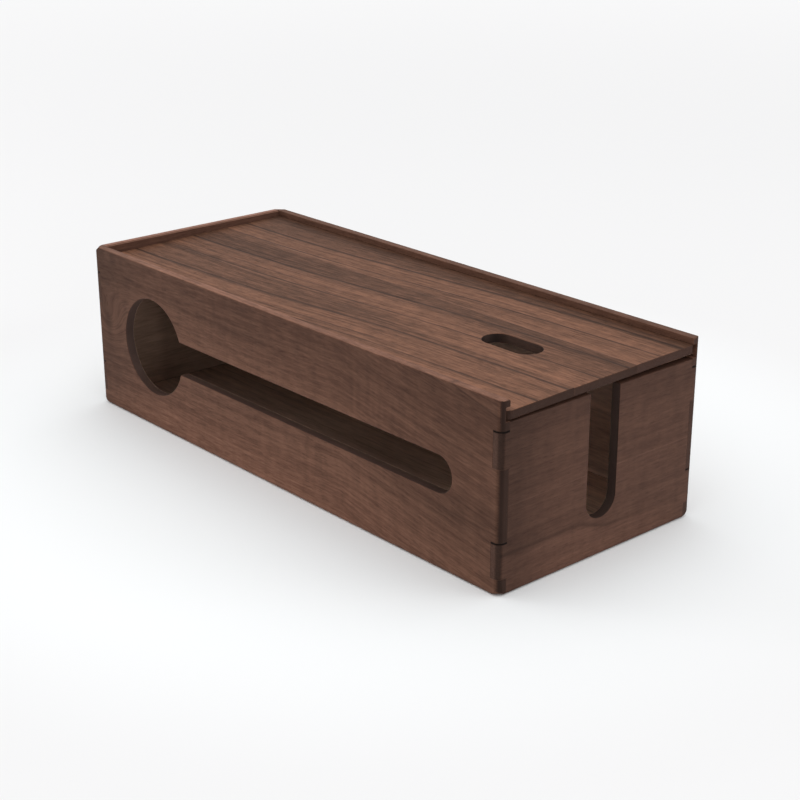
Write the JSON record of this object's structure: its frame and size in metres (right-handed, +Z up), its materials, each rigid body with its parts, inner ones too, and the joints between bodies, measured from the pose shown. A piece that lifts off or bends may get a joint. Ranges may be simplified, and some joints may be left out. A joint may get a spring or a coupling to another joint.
{
  "type": "sliding-lid cable box",
  "caption": "Long wooden box that hides a power strip and its cables, with a keyhole opening in the front, an upright slot in one end and a sliding lid with a finger hole.",
  "frame": {"origin": "on the table, at the middle of the box's footprint", "axes": "+X along the box towards the open end where the lid slides out, +Y from the front with the keyhole opening to the back, +Z up"},
  "size_m": [0.42, 0.17, 0.12],
  "materials": {
    "side_wood": "matt oiled walnut",
    "end_wood": "matt oiled walnut",
    "panel_wood": "matt walnut",
    "lid_wood": "matt oiled walnut"
  },
  "bodies": {
    "box": {"front_side": "side_wood", "back_side": "side_wood", "left_end": "end_wood", "right_end_lower": "end_wood", "right_end_upper": "end_wood", "bottom_panel": "panel_wood"},
    "lid": {"lid_stave_front": "lid_wood", "lid_stave_middle": "lid_wood", "lid_stave_back": "lid_wood"}
  },
  "joints": [
    {"name": "lid_slide", "type": "slide", "parent": "box", "child": "lid", "axis": [1, 0, 0], "range_m": [0, 0.42]}
  ]
}
